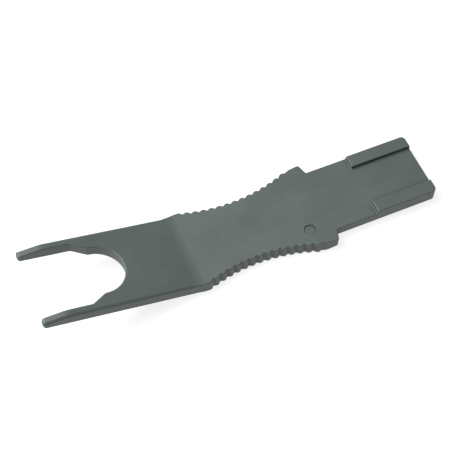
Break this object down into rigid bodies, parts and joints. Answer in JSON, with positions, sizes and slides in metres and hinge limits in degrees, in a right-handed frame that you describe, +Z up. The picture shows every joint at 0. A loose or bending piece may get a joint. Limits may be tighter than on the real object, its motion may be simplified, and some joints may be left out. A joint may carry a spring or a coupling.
{
  "type": "fork removal tool",
  "caption": "One-piece moulded fork tool: two tines round a half-round seat, ribbed waisted grip, and a flat tail with raised edge rails.",
  "frame": {"origin": "centre of the bounding box on the plane that the grip's flat underside rests on", "axes": "+X along the tool towards the tail, tines towards -X; +Y across the tool; +Z up, out of the face with the rails"},
  "size_m": [0.1014, 0.0234, 0.0124],
  "materials": {
    "grey_plastic": "satin moulded, mid grey with a slight green cast"
  },
  "bodies": {
    "root": {"fork_tool_body": "grey_plastic"}
  },
  "joints": []
}
